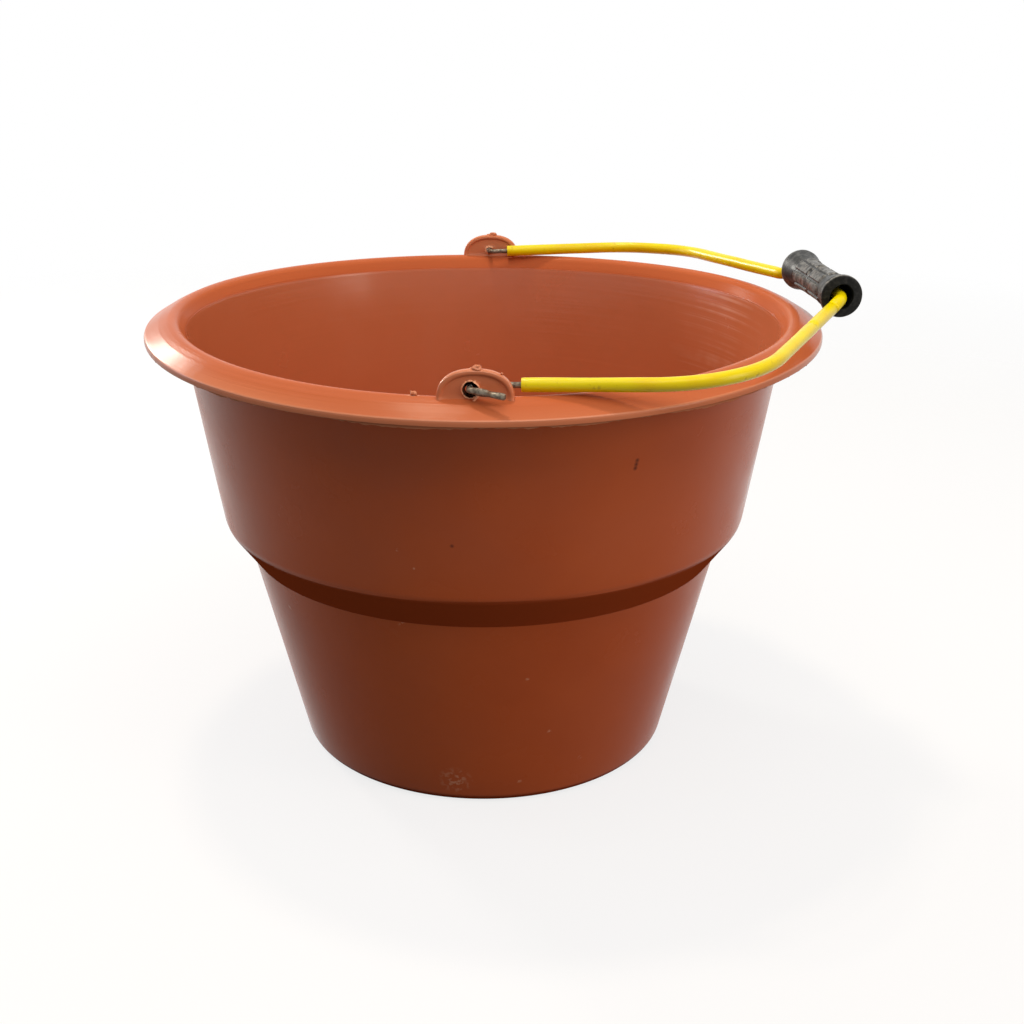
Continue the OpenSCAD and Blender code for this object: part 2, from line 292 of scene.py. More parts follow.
def mark_plastic(bm, torn_and_painted_light_at, grime_and_painted_shade_at=lambda place: 0.0):
    """Stores for the plastic how far each place is torn and lit with painted light, darkened with painted
    shade below, lightened with painted light on upward and inner faces, polished, and grimy and shaded in the
    front hole.
    """
    bm.normal_update()
    torn_and_painted_light, painted_shade_below, painted_light_up_and_in, polish, grime_and_painted_shade = (bm.verts.layers.float.new(n) for n in PLASTIC_MARKS)
    for vert in bm.verts:
        x, y, z = vert.co
        rise = vert.normal.z
        inwards = -(vert.normal.x * x + vert.normal.y * y) / max(math.hypot(x, y), MM)
        inside = smooth((inwards - 0.9) / 0.06)
        throat = smooth((inwards - 0.5) / 0.2) * (1 - inside)
        upwards = smooth((rise - 0.25) / 0.3)
        slanting = smooth((rise - 0.2) / 0.2) * smooth((0.84 - rise) / 0.1)
        rounding = slanting * smooth(-5 * inwards)
        height = smooth((z - 100 * MM) / (60 * MM))
        # Tearing with painted light, and grime with painted shade
        vert[torn_and_painted_light], vert[grime_and_painted_shade] = torn_and_painted_light_at(vert.co), grime_and_painted_shade_at(vert.co)
        # Painted shade: faces that look down are darkened, and lose their polish
        vert[painted_shade_below] = smooth((-rise - 0.3) / 0.2)
        # Painted light: inner walls and upward faces are made lighter
        vert[painted_light_up_and_in] = max(inside, 0.6 * upwards)
        gloss = 0.05 + 0.06 * height + 0.3 * inside - 0.06 * upwards + 0.25 * rounding - 0.04 * throat
        vert[polish] = gloss * (1 - vert[painted_shade_below])


def push_out(vert, amount, radius):
    """Moves a vertex at the given radius away from the Z axis."""
    vert.co.x *= 1 + amount / radius
    vert.co.y *= 1 + amount / radius


def skin(bm, rings, closed=False):
    """Lays a grid over rings of equal length and joins its seam; closed also joins last to first."""
    rings = rings + rings[:1] if closed else rings
    count = len(rings[0])
    grid = bmesh.ops.create_grid(bm, x_segments=count, y_segments=len(rings) - 1, size=1)["verts"]
    for i, vert in enumerate(grid):
        row, column = divmod(i, count + 1)
        vert.co = rings[row][column % count]
    bmesh.ops.remove_doubles(bm, verts=grid, dist=MERGING)
    if not closed:
        ends = [e for e in bm.edges if e.is_boundary]
        bmesh.ops.holes_fill(bm, edges=ends, sides=0)
    bmesh.ops.recalc_face_normals(bm, faces=bm.faces)


def lathe(bm, points, steps):
    """Spins a line of points round the Z axis and joins what meets."""
    verts = [bm.verts.new(p) for p in points]
    edges = [bm.edges.new(pair) for pair in zip(verts, verts[1:])]
    bmesh.ops.spin(
        bm,
        geom=verts + edges,
        cent=(0, 0, 0),
        axis=UP,
        dvec=(0, 0, 0),
        angle=math.tau,
        steps=steps,
        use_merge=True,
    )
    bmesh.ops.remove_doubles(bm, verts=bm.verts, dist=TOUCHING)
    bmesh.ops.recalc_face_normals(bm, faces=bm.faces)


# Tub


def flange_height(sizes, skin_radius, radius, slope, inwards):
    """Height on one of the flange's slopes, for a skin round the crest's axis."""
    side = -1 if inwards else 1
    axis_z = sizes.height - sizes.crest_round
    along = radius - sizes.crest_radius - side * skin_radius * math.sin(slope)
    return axis_z + skin_radius * math.cos(slope) - side * math.tan(slope) * along


# Slopes of the flange from the mouth up to the crest, and from the crest down to the lip
INNER_SLOPE = math.radians(60)
OUTER_SLOPE = math.radians(28)

# Width of the band along the rim's edge that holds the lip and its flash
LIP_BAND = 1.2 * MM

# How far the soft wall sways in and out round the tub
WALL_SWAY = 0.25 * MM

# Middle of the stub left on the crest, above the crest's height, and how far its paleness reaches
CREST_STUB = (-23.9 * MM, -150.3 * MM, 1.2 * MM)
STUB_REACH = 2 * MM


def peak_radius(sizes, skin_radius):
    """Radius at which the flange's two slopes meet above the crest."""
    si, ci, so, co = (f(a) for a in (INNER_SLOPE, OUTER_SLOPE) for f in (math.sin, math.cos))
    ti, to = math.tan(INNER_SLOPE), math.tan(OUTER_SLOPE)
    return sizes.crest_radius + skin_radius * (co - ci + to * so - ti * si) / (ti + to)


def tub_profile(sizes):
    """The tub's section as a line from the axis under the base round to the axis on the floor."""

    def inner(skin_radius, radius):
        return flange_height(sizes, skin_radius, radius, INNER_SLOPE, True)

    def outer(skin_radius, radius):
        return flange_height(sizes, skin_radius, radius, OUTER_SLOPE, False)

    top, under = sizes.crest_round, sizes.crest_round - sizes.flange
    rim, wall = sizes.rim_radius, sizes.wall
    lip_in, lip_z = rim - sizes.flange, outer(top, rim) - sizes.lip
    ridge_r = rim - sizes.ridge_in
    under_r, top_r = peak_radius(sizes, under), peak_radius(sizes, top)
    # The middle one of the three corners just inside the rim lies lowest, and is drawn down as flash
    corners = [
        (0, 0, 0, 0),
        (sizes.base_radius * 0.5, 0, 0, 0),
        (sizes.base_radius, 0, sizes.base_round, 10),
        (sizes.step_low_radius, sizes.step_low_height, 1.5 * MM, 5),
        (sizes.step_top_radius, sizes.step_top_height, sizes.step_round, 12),
        (sizes.mouth_radius + wall, inner(under, sizes.mouth_radius + wall), 0.8 * MM, 3),
        (under_r, outer(under, under_r), under, 8),
        (lip_in, outer(under, lip_in), 0.5 * MM, 2),
        (lip_in, lip_z, 0.3 * MM, 2),
        (rim - 1.0 * MM, lip_z, 0, 0),
        (rim - 0.75 * MM, lip_z - 0.1 * MM, 0, 0),
        (rim - 0.5 * MM, lip_z, 0, 0),
        (rim, lip_z, 0.35 * MM, 3),
        (rim, outer(top, rim), sizes.lip_round, 8),
        (ridge_r, outer(top, ridge_r) + sizes.ridge, sizes.ridge_round, 4),
        (top_r, outer(top, top_r), top, 14),
        (sizes.mouth_radius, inner(top, sizes.mouth_radius), 7 * MM, 9),
        (sizes.step_top_radius - wall, sizes.step_top_height, sizes.step_round, 10),
        (sizes.step_low_radius - wall, sizes.step_low_height, 1.2 * MM, 4),
        (sizes.base_radius - wall, sizes.floor, sizes.base_round - wall, 8),
        (sizes.base_radius * 0.5, sizes.floor, 0, 0),
        (0, sizes.floor, 0, 0),
    ]
    return section(corners)


def subdivided(points, longest):
    """The same line with extra points, so that no stretch is longer than longest."""
    out = [points[0]]
    for a, b in zip(points, points[1:]):
        parts = max(1, math.ceil((b - a).length / longest))
        out += [a.lerp(b, i / parts) for i in range(1, parts + 1)]
    return out


def rim_lift(sizes, x, y, z):
    """How far the moulding's warp lifts a point: nothing below the step, most at the X sides."""
    share = smooth((z - sizes.step_top_height) / (sizes.height - sizes.step_top_height))
    return sizes.saddle * (1 + math.cos(2 * math.atan2(y, x))) * share


def flash_height(sizes, angle):
    """Ragged height of the thin flash that the mould left under the lip."""
    long_run = noise.noise(on_circle(angle, 3.1, 4.0))
    teeth = noise.fractal(on_circle(angle, 34, 9.0), 0.6, 2.0, 4)
    return sizes.flash * min(max(0.35 + 0.9 * long_run + 0.55 * teeth, 0.02), 1.0)


class BUCKET_OT_tub(bpy.types.Operator):
    """Spin the stepped tub with its rolled flange, and warp the rim as the moulding did"""

    bl_idname = "bucket.make_tub"
    bl_label = "Make Tub"

    def execute(self, context):
        sizes = context.scene.tub_sizes
        profile = subdivided(tub_profile(sizes), TUB_STRETCH)
        lip_z = min(p.z for p in profile if p.x > sizes.rim_radius - LIP_BAND)
        bm = bmesh.new()
        lathe(bm, profile, TUB_STEPS)
        for vert in bm.verts:
            x, y, z = vert.co
            radius, angle = math.hypot(x, y), math.atan2(y, x)
            vert.co.z += rim_lift(sizes, x, y, z)
            if abs(z - lip_z) < TOUCHING and radius > sizes.rim_radius - LIP_BAND:
                vert.co.z -= flash_height(sizes, angle)
            if z > sizes.step_top_height and radius > 0:
                waves = noise.noise(on_circle(angle, 2, z * 12))
                push_out(vert, WALL_SWAY * waves, radius)
        x, y, above = CREST_STUB
        stub = Vector((x, y, sizes.height + above))
        lump(bm, stub, (1.6, 0.9, 0.9), 12, 3.0)

        def torn_and_painted_light_at(place):
            on_stub = (place - stub).length < STUB_REACH
            return max(self.lip_paleness(sizes, place, lip_z), 0.35 * on_stub)

        mark_plastic(bm, torn_and_painted_light_at)
        finish_piece(bm, "tub_shell", "bucket", "bucket", moulded_polypropylene(), 50)
        return {"FINISHED"}

    def lip_paleness(self, sizes, place, lip_z):
        """How pale the lip is: a little on its outer face, where the paleness is painted light, more on the
        flash below its lower edge.
        """
        radius = math.hypot(place.x, place.y)
        if radius < sizes.rim_radius - LIP_BAND:
            return 0.0
        # Painted light: the lip's outer face is made paler
        face = 0.24 * smooth((radius - sizes.rim_radius + 0.9 * MM) / (0.5 * MM))
        return face + 0.25 * smooth((lip_z + rim_lift(sizes, *place) - place.z) / (0.25 * MM))


# Ears


# Power of the ears' arch, which a round arch has at 2, and how deep its foot is sunk
ARCH_POWER = 2.3
FOOT_SINK = 1.4 * MM

# How far the stubs on the ears lean, in degrees
STUB_LEAN = -10


def ear_outline(sizes, inset, centre_x):
    """Points of an ear's arch in X and Z from right to left, drawn in by inset; its foot is sunk."""
    half, height, bulge = sizes.ear_half - inset, sizes.ear_height - inset, 2 / ARCH_POWER
    foot = sizes.ear_root - FOOT_SINK
    arch = []
    for i in range(EAR_STEPS + 1):
        angle = math.pi * i / EAR_STEPS
        across, up = math.cos(angle), math.sin(angle)
        x = centre_x + math.copysign(abs(across) ** bulge, across) * half
        arch.append(Vector((x, sizes.ear_root + up**bulge * height)))
    return [Vector((arch[0].x, foot))] + arch + [Vector((arch[-1].x, foot))]


def ring_at(outline, centre, count):
    """Points where count even rays from centre cross a closed outline."""
    polar = []
    for a, b in zip(outline, outline[1:] + outline[:1]):
        for i in range(12):
            p = a.lerp(b, i / 12) - centre
            polar.append((math.atan2(p.y, p.x) % math.tau, p.length))
    polar.sort()
    polar = [(polar[-1][0] - math.tau, polar[-1][1])] + polar + [(polar[0][0] + math.tau, polar[0][1])]
    places, k = [], 0
    for i in range(count):
        angle = math.tau * i / count
        while polar[k + 1][0] < angle:
            k += 1
        (a0, r0), (a1, r1) = polar[k], polar[k + 1]
        r = r0 + (r1 - r0) * (angle - a0) / max(a1 - a0, 1e-9)
        places.append(centre + r * Vector((math.cos(angle), math.sin(angle))))
    return places


def ragged(angle, seed, amount):
    """Uneven offset round a hole, as torn plastic has it."""
    return amount * noise.fractal(on_circle(angle, 1.7, seed), 0.8, 2.0, 4)


def hole_on(sizes, side, towards):
    """Middle and radius of an ear's hole on its face towards -Y (-1) or +Y (1)."""
    if side == FRONT and towards < 0:
        return Vector((sizes.hole_x, sizes.hole_height)), sizes.hole_mouth
    middle = Vector((sizes.hole_x - 0.5 * MM, sizes.hole_height - 0.4 * MM))
    return middle, sizes.hole_back if side == FRONT else sizes.hole_tight


def ear_face(sizes, side, centre_x, towards, burr, seed):
    """(places, heights above the ear's middle) rings of one face, from the hole out to the edge."""
    hole, hole_radius = hole_on(sizes, side, towards)
    spread = 1.0 if side == FRONT else 1.9
    half = sizes.ear_thickness / 2
    web = half - sizes.ear_web
    angles = [math.tau * i / EAR_RAYS for i in range(EAR_RAYS)]

    def circle(gap_mm, rough_mm):
        out = []
        for angle in angles:
            r = hole_radius + gap_mm * MM * spread + ragged(angle, seed, rough_mm * MM)
            out.append(hole + r * Vector((math.cos(angle), math.sin(angle))))
        return out

    def edge(inset):
        return ring_at(ear_outline(sizes, inset, centre_x), hole, EAR_RAYS)

    def crest(share):
        return [web + max(0.0, burr * share * (0.8 + ragged(a, seed + 5, 0.9))) for a in angles]

    def flat(height):
        return [height] * EAR_RAYS

    rings = [(circle(0, 0), flat(web - 0.4 * MM))]
    for gap_mm, rough_mm, share in ((0.1, 0.25, 0.9), (0.28, 0.4, 1.0), (0.48, 0.3, 0.35)):
        rings.append((circle(gap_mm, rough_mm), crest(share)))
    near, far = circle(0.75, 0.1), edge(2.9 * MM)
    rings.append((near, flat(web)))
    for share in (0.35, 0.7):
        rings.append(([p.lerp(q, share) for p, q in zip(near, far)], flat(web)))
    rings.append((far, flat(web)))
    slope = ((2.6, web + 0.06 * MM), (2.2, web + 0.4 * (half - web)), (1.8, half - 0.06 * MM))
    rings += [(edge(inset * MM), flat(height)) for inset, height in slope]
    bead = sizes.ear_bead
    for i in range(BEAD_STEPS + 1):
        angle = math.pi / 2 * i / BEAD_STEPS
        rings.append((edge(bead - bead * math.sin(angle)), flat(half - bead + bead * math.cos(angle))))
    return rings


def ear_rings(sizes, side, centre_x, burr, seed):
    """Rings of an ear from the hole in its outer face over the edge to the hole in its inner face."""
    mid_y = side * sizes.crest_radius
    rings = []
    for towards, height in ((-1, burr), (1, 0.3 * burr)):
        placed = []
        for places, heights in ear_face(sizes, side, centre_x, towards, height, seed + towards):
            ring = []
            for p, t in zip(places, heights):
                ring.append(Vector((p.x, mid_y + towards * (t + root_flare(sizes, p.y)), p.y)))
            placed.append(ring)
        rings += placed if towards < 0 else placed[::-1]
    return rings


def root_flare(sizes, z):
    """How much thicker an ear grows on each side just above its root."""
    above = (z - sizes.ear_root) / (1.6 * MM)
    return 0.0 if above > 1 else 0.5 * MM * (1 - max(above, 0)) ** 2


def lump(bm, place, size_mm, lean, seed, swell=0.45):
    """A small stub of plastic: a ball made uneven, pulled to size and leant by degrees about Y."""
    ball = bmesh.ops.create_uvsphere(bm, u_segments=24, v_segments=14, radius=1)["verts"]
    for vert in ball:
        vert.co *= 1 + swell * noise.noise(vert.co * 1.3 + Vector((seed, 0, 0)))
    bmesh.ops.scale(bm, verts=ball, vec=tuple(s * MM for s in size_mm))
    turn = Matrix.Rotation(math.radians(lean), 4, "Y")
    bmesh.ops.transform(bm, verts=ball, matrix=Matrix.Translation(place) @ turn)


class BUCKET_OT_ears(bpy.types.Operator):
    """Shape both ears with their webs, beads, burred holes and moulding stubs"""

    bl_idname = "bucket.make_ears"
    bl_label = "Make Ears"

    def execute(self, context):
        sizes = context.scene.tub_sizes
        plastic = moulded_polypropylene()
        for name, side, centre_x, burr, seed in (
            ("ear_front", FRONT, 1.1 * MM, 1.0 * MM, 3.0),
            ("ear_back", BACK, -0.4 * MM, 0.5 * MM, 8.0),
        ):
            bm = bmesh.new()
            skin(bm, ear_rings(sizes, side, centre_x, burr, seed), closed=True)
            self.add_stubs(bm, sizes, side, centre_x)
            mark_plastic(bm, lambda p: self.torn_and_painted_light(sizes, p, side), lambda p: self.grime_and_painted_shade(sizes, p, side))
            finish_piece(bm, name, "bucket", "bucket", plastic, 60)
        return {"FINISHED"}

    def from_hole(self, sizes, place, side):
        """Depth from the ear's middle, way from the hole's middle and the radius of that hole."""
        depth = place.y - side * sizes.crest_radius
        hole, hole_radius = hole_on(sizes, side, -1 if depth < 0 else 1)
        return depth, Vector((place.x, place.z)) - hole, hole_radius

    def torn_and_painted_light(self, sizes, place, side):
        """1 on the torn burr and flap, pale from tearing and brightened with painted light, and a little
        elsewhere, painted light for the thin ear letting light through.
        """
        depth, away, hole_radius = self.from_hole(sizes, place, side)
        proud = abs(depth) - sizes.ear_thickness / 2 + sizes.ear_web
        burr_reach = hole_radius + (0.7 if side == FRONT else 1.3) * MM
        is_burr = away.length < burr_reach and proud > -0.1 * MM
        is_clean = side == BACK and away.dot(Vector((-0.8, 0.6))) < -0.3 * away.length
        is_flap = away.length < 6.5 * MM and proud > sizes.ear_web + 0.15 * MM
        # The 0.2 elsewhere is painted light: the thin ear is lightened as if light came through it
        return 1.0 if (is_burr and not is_clean) or is_flap else 0.2

    def grime_and_painted_shade(self, sizes, place, side):
        """1 on the wall of the front hole, which is darkened for grime and for painted shade, and 0
        elsewhere.
        """
        _, away, hole_radius = self.from_hole(sizes, place, side)
        is_wall = away.length < hole_radius + 0.02 * MM
        return 1.0 if side == FRONT and is_wall else 0.0

    def add_stubs(self, bm, sizes, side, centre_x):
        """Adds the gate stub on top of the ear and, at the front, a small spur and the torn flap."""
        top = sizes.ear_root + sizes.ear_height
        y = side * sizes.crest_radius
        stub = Vector((centre_x + 0.9 * MM, y, top + 0.05 * MM))
        lump(bm, stub, (2.2, 1.8, 1.65), STUB_LEAN, 1.0 + side)
        lump(bm, stub + Vector((-2.0 * MM, 0, -0.3 * MM)), (1.7, 1.5, 0.8), STUB_LEAN, 5.0 + side)
        if side == FRONT:
            spur = Vector((centre_x + 10.6 * MM, y, top - 1.9 * MM))
            lump(bm, spur, (0.6, 0.8, 0.45), STUB_LEAN, 2.0, 0.18)
            self.add_flap(bm, sizes, y)

    def add_flap(self, bm, sizes, y):
        """Adds the torn flap that hangs from the lower right of the front hole."""
        flap = bmesh.ops.create_cone(
            bm, cap_ends=True, segments=12, radius1=0.95 * MM, radius2=0.35 * MM, depth=4.6 * MM
        )["verts"]
        bmesh.ops.scale(bm, verts=flap, vec=(1, 0.35, 1))
        fall = Matrix.Rotation(math.radians(215), 4, "Y")
        hold = Matrix.Translation((sizes.hole_x + 2.3 * MM, y - 2.9 * MM, sizes.hole_height - 2.9 * MM))
        bmesh.ops.transform(bm, verts=flap, matrix=hold @ fall)


# Bail


def arch_cut(sizes):
    """How far the arch's bend lies below its corner."""
    return sizes.arch_bend * (1 / math.cos(sizes.arch_slope) - 1)


def bail_side(sizes, side):
    """Corners of the bail on one side, from the hook's tail to the grip section's end."""
    front = side == FRONT
    main = sizes.main_front if front else sizes.main_back
    crank_in = sizes.crank_front if front else sizes.crank_back
    x, z = sizes.pivot_x, sizes.pivot_z
    grip_x = sizes.grip_x - side * sizes.grip_skew / 2
    grip_z = z + sizes.grip_rise
    end_drop = math.hypot(sizes.grip_half, sizes.grip_skew / 2) * math.tan(sizes.arch_slope) - arch_cut(sizes)
    return [
        Vector((x + sizes.tail, side * (sizes.hook_y + sizes.tail_splay), z - sizes.tail_drop)),
        Vector((x, side * sizes.hook_y, z + (sizes.hook_rise if front else 0.0))),
        Vector((x, side * sizes.start_y, z)),
        Vector((x + math.sqrt(main**2 - sizes.main_y**2), side * sizes.main_y, z + sizes.main_rise)),
        Vector((grip_x - crank_in, side * (sizes.grip_half + sizes.crank_width), grip_z - sizes.crank_drop)),
        Vector((grip_x, side * sizes.grip_half, grip_z - end_drop)),
    ]


def arch(sizes):
    """The corner of the grip section's arch, with its bend."""
    corner = Vector((sizes.grip_x, 0, sizes.pivot_z + sizes.grip_rise + arch_cut(sizes)))
    return [(corner, sizes.arch_bend, 12)]


def bail_route(sizes):
    """The wire's rounded centreline from the front tail to the back tail."""
    bends = (0, sizes.hook_bend, sizes.hook_bend, sizes.main_bend, sizes.crank_bend, sizes.crank_bend)
    steps = (0, 14, 14, 40, 16, 16)
    front = list(zip(bail_side(sizes, FRONT), bends, steps))
    back = list(zip(bail_side(sizes, BACK), bends, steps))
    return rounded_line(front + arch(sizes) + back[::-1])


def sleeve_route(sizes):
    """The sleeve's centreline: the wire's own line between the sleeve's two ends."""
    bends = (0, sizes.main_bend, sizes.crank_bend, sizes.crank_bend)
    steps = (0, 44, 16, 16)
    sides = []
    for side, start in ((FRONT, sizes.sleeve_front), (BACK, sizes.sleeve_back)):
        points = bail_side(sizes, side)[2:]
        points[0] = points[0] + (points[1] - points[0]).normalized() * start
        sides.append(list(zip(points, bends, steps)))
    return rounded_line(sides[0] + arch(sizes) + sides[1][::-1])


def frames_along(points, first_normal):
    """(point, normal, side, distance) along a line, with the normal carried along without twist."""
    out, travelled, normal = [], 0.0, first_normal
    for i, point in enumerate(points):
        before, after = points[max(i - 1, 0)], points[min(i + 1, len(points) - 1)]
        along = (after - before).normalized()
        normal = (normal - along * normal.dot(along)).normalized()
        if i:
            travelled += (point - points[i - 1]).length
        out.append((point, normal, along.cross(normal), travelled))
    return out


def tube_rings(frames, count, radius_at):
    """Rings of a tube along frames, with the radius given for each distance and angle."""
    rings = []
    for point, normal, side, travelled in frames:
        ring = []
        for i in range(count):
            angle = math.tau * i / count
            out = normal * math.cos(angle) + side * math.sin(angle)
            ring.append(point + out * radius_at(travelled, angle, out))
        rings.append(ring)
    return rings


class BUCKET_OT_wire(bpy.types.Operator):
    """Draw the bent steel wire from one hook's tail to the other's"""

    bl_idname = "bucket.make_wire"
    bl_label = "Make Wire"

    def execute(self, context):
        sizes = context.scene.bail_sizes
        points = subdivided(bail_route(sizes), BAIL_STRETCH)
        frames = frames_along(points, UP)
        total, radius = frames[-1][3], sizes.wire / 2

        def radius_at(travelled, angle, out):
            near_end = min(travelled, total - travelled)
            bitten = 1 - smooth((near_end - 11 * MM) / (5 * MM))
            twist = 0.14 * MM * bitten * math.cos(2 * angle - math.tau * travelled / (11 * MM))
            skin_place = Vector((travelled * 900, math.cos(angle) * 2, math.sin(angle) * 2))
            grain = 0.05 * MM * noise.noise(skin_place)
            chamfer = 0.22 * MM * (1 - smooth(near_end / (0.5 * MM)))
            squeeze = 0.25 * MM * math.exp(-(((near_end - 10 * MM) / (3 * MM)) ** 2))
            return radius + 0.05 * MM * bitten + squeeze + twist + grain - chamfer

        bm = bmesh.new()
        skin(bm, tube_rings(frames, WIRE_SIDES, radius_at))
        finish_piece(bm, "bail_wire_drawn", "bail", "bail_wire", drawn_steel_wire(), 50)
        return {"FINISHED"}


class BUCKET_OT_sleeve(bpy.types.Operator):
    """Draw the soft plastic tube over the wire, with its creases at the cranks"""

    bl_idname = "bucket.make_sleeve"
    bl_label = "Make Sleeve"

    def execute(self, context):
        sizes = context.scene.bail_sizes
        points = subdivided(sleeve_route(sizes), BAIL_STRETCH)
        frames = frames_along(points, UP)
        total, radius, bore = frames[-1][3], sizes.sleeve / 2, sizes.sleeve_bore / 2
        kinks = self.kinks(sizes, frames)

        def outside(travelled, angle, out):
            near_end = min(travelled, total - travelled)
            wave = 0.12 * MM * noise.noise(Vector((travelled * 55, math.cos(angle), math.sin(angle))))
            edge = 0.12 * MM * (1 - smooth(near_end / (0.3 * MM)))
            fold = 0.0
            for place, inwards, depth, width in kinks:
                share = math.exp(-(((travelled - place) / width) ** 2))
                fold += depth * share * max(0.0, out.dot(inwards)) ** 1.5
            return radius + wave - edge - fold

        bm = bmesh.new()
        outer = tube_rings(frames, SLEEVE_SIDES, outside)
        inner = tube_rings(frames, SLEEVE_SIDES, lambda travelled, angle, out: bore)
        skin(bm, outer + inner[::-1], closed=True)
        finish_piece(bm, "bail_sleeve_tube", "bail", "bail_sleeve", soft_vinyl_tube(), 50)
        return {"FINISHED"}

    def kinks(self, sizes, frames):
        """(distance, direction of the bend's inside, depth, width) of the creases at the tight bends."""

        def distance_to(place):
            return min(frames, key=lambda f: (f[0] - place).length)[3]

        found = []
        for side in (FRONT, BACK):
            corners = bail_side(sizes, side) + [arch(sizes)[0][0]]
            for i, depth, width in ((4, 1.0 * MM, 2.2 * MM), (5, 0.8 * MM, 2.6 * MM)):
                before, corner, after = corners[i - 1 : i + 2]
                inwards = ((before - corner).normalized() + (after - corner).normalized()).normalized()
                found.append((distance_to(corner), inwards, depth, width))
        before, after = bail_side(sizes, FRONT)[3:5]
        crease = distance_to(before.lerp(after, 0.7))
        found.append((crease, UP, 1.1 * MM, 1.2 * MM))
        found.append((crease + 3 * MM, -UP, 0.8 * MM, 1.6 * MM))
        return found


# Grip


def grip_profile(grip):
    """The spool's section from the bore's front mouth round the outside to the bore's back mouth."""
    half = grip.length / 2
    front = [
        (grip.bore, 0, 0, 0),
        (grip.bore, -half + 6 * MM, 0, 0),
        (grip.bore, -half, 0.5 * MM, 4),
        (grip.end, -half, 1.0 * MM, 6),
        (grip.end, -half + grip.land, 2 * MM, 4),
        (grip.waist, -half + grip.flare, 60 * MM, 14),
    ]
    back = [(radius, -z, round_r, steps) for radius, z, round_r, steps in reversed(front)]
    return section(front + back)


def pad_share(grip, angle, z):
    """How far a point on the waist lies up the side of a pad, from 0 in the groove to 1 on top."""
    pitch = math.tau / grip.pads
    across = abs((angle + pitch / 2) % pitch - pitch / 2)
    from_middle = abs(abs(z) - (grip.pad + grip.pad_gap) / 2)
    side = smooth((math.radians(17.5) - across) / math.radians(3.5) + 0.5)
    end = smooth((grip.pad / 2 - from_middle) / (1.1 * MM) + 0.5)
    return side * end


class BUCKET_OT_grip(bpy.types.Operator):
    """Spin the flared grip, raise its pads and hang it on the sleeve"""

    bl_idname = "bucket.make_grip"
    bl_label = "Make Grip"

    def execute(self, context):
        grip = context.scene.grip_sizes
        bail = context.scene.bail_sizes
        front, back = bail_side(bail, FRONT)[5], bail_side(bail, BACK)[5]
        along = (back - front).normalized()
        middle = Vector((bail.grip_x, 0, bail.pivot_z + bail.grip_rise - grip.sag))
        bm = bmesh.new()
        profile = subdivided(grip_profile(grip), GRIP_STRETCH)
        lathe(bm, profile, GRIP_STEPS)
        cut, rubbed = (bm.verts.layers.float.new(n) for n in GRIP_MARKS)
        for vert in bm.verts:
            x, y, z = vert.co
            radius, angle = math.hypot(x, y), math.atan2(y, x)
            share = pad_share(grip, angle, z)
            from_end = grip.length / 2 - abs(z)
            face = smooth(1.5 - from_end / (0.3 * MM))
            bore = smooth(1.5 - (radius - grip.bore) / (0.3 * MM))
            # Dull cut end faces, and painted shade that darkens the bore
            vert[cut] = max(0.66 * face, bore)
            edges = max(4 * share * (1 - share), smooth(1 - abs(from_end - 1.0 * MM) / (0.9 * MM)))
            vert[rubbed] = max(edges, 0.5 * share)
            if radius > grip.bore + 0.3 * MM:
                lift = grip.pad_height * share
                dent = 0.08 * MM * noise.noise(Vector((x, y, z)) * 160)
                push_out(vert, lift + dent, radius)
            self.tear_mouth(grip, vert, radius, angle, z)
        side = along.cross(UP).normalized()
        turn = Matrix((side, along.cross(side), along)).transposed().to_4x4()
        bmesh.ops.transform(bm, verts=bm.verts, matrix=Matrix.Translation(middle) @ turn)
        bmesh.ops.recalc_face_normals(bm, faces=bm.faces)
        finish_piece(bm, "grip_spool", "grip", "grip", black_rubber(), 40)
        return {"FINISHED"}

    def tear_mouth(self, grip, vert, radius, angle, z):
        """Leaves the mouths of the bore uneven, as the trimming knife did."""
        near_mouth = smooth(1 - (grip.length / 2 - abs(z)) / (3 * MM))
        if radius < grip.bore + 0.8 * MM and near_mouth > 0:
            cut = 0.55 * MM * noise.noise(on_circle(angle, 1.4, z * 20))
            push_out(vert, near_mouth * cut, radius)


# Materials

# Places of the two colours and of the result among a Mix node's sockets
MIX_A = 6
MIX_B = 7
MIX_RESULT = 2


def set_inputs(tree, node, inputs):
    """Sets a node's sockets to values, or links them where the value is another node's output."""
    for socket, value in inputs.items():
        if hasattr(value, "node"):
            tree.links.new(value, node.inputs[socket])
        else:
            node.inputs[socket].default_value = value


def add_node(tree, kind, inputs=None, **settings):
    """Adds a node with settings of its own and with inputs by socket."""
    node = tree.nodes.new("ShaderNode" + kind)
    for name, value in settings.items():
        setattr(node, name, value)
    set_inputs(tree, node, inputs or {})
    return node


def new_material(name):
    """A material with only a Principled shader, its tree, the shader and the object coordinates."""
    material = bpy.data.materials.new(name)
    material.use_nodes = True
    tree = material.node_tree
    place = add_node(tree, "TexCoord").outputs["Object"]
    return material, tree, tree.nodes["Principled BSDF"], place


def chosen(name):
    """The colour that the finishes hold under a name, with alpha."""
    return (*getattr(bpy.context.scene.finishes, name), 1.0)


def marks(tree, names):
    """The outputs that give the marks stored under these names."""
    return [add_node(tree, "Attribute", attribute_name=name).outputs["Fac"] for name in names]


def blend(tree, factor, a, b):
    """Mixes two colours by a factor; each is an output, an RGBA value or an sRGB hex code."""
    a, b = (linear(c) if isinstance(c, str) else c for c in (a, b))
    inputs = {"Factor": factor, MIX_A: a, MIX_B: b}
    return add_node(tree, "Mix", inputs, data_type="RGBA").outputs[MIX_RESULT]


